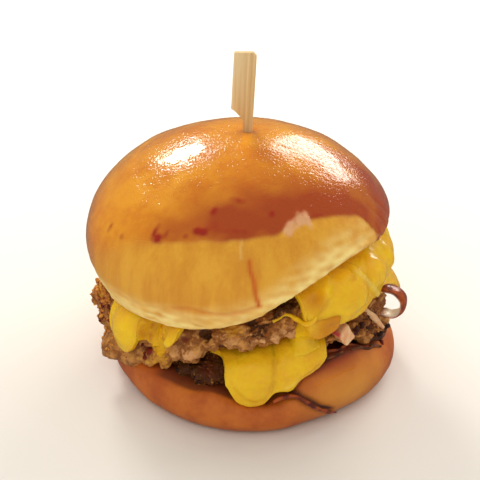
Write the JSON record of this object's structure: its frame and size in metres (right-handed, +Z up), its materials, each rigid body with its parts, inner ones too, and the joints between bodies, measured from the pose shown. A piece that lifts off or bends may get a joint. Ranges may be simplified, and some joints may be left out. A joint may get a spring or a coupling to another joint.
{
  "type": "smash burger",
  "caption": "Double smash burger in a glossy browned bun, with melted cheese hanging over the patties and a bamboo paddle pick through the middle.",
  "frame": {"origin": "middle of the bottom bun's flat underside", "axes": "+Z up along the pick; -Y towards the front, where the filling shows most and the cheese hangs over; +X to the right of that view"},
  "size_m": [0.1199, 0.1142, 0.124],
  "materials": {
    "bun_top_crust": "glossy browned bread crust",
    "bun_heel_crust": "satin browned bread crust",
    "meat": "rough seared ground meat, wet in places",
    "cheese": "glossy melted cheese",
    "onion": "moist raw red onion",
    "fried_onion": "dark glossy fried onion",
    "bamboo": "bare pale bamboo"
  },
  "bodies": {
    "root": {"bun_heel": "bun_heel_crust", "patty_lower": "meat", "cheese_lower": "cheese", "patty_upper": "meat", "cheese_upper": "cheese", "bun_top": "bun_top_crust", "pick": "bamboo", "onion_dice": "onion", "onion_loop": "fried_onion", "onion_strand": "fried_onion"}
  },
  "joints": []
}
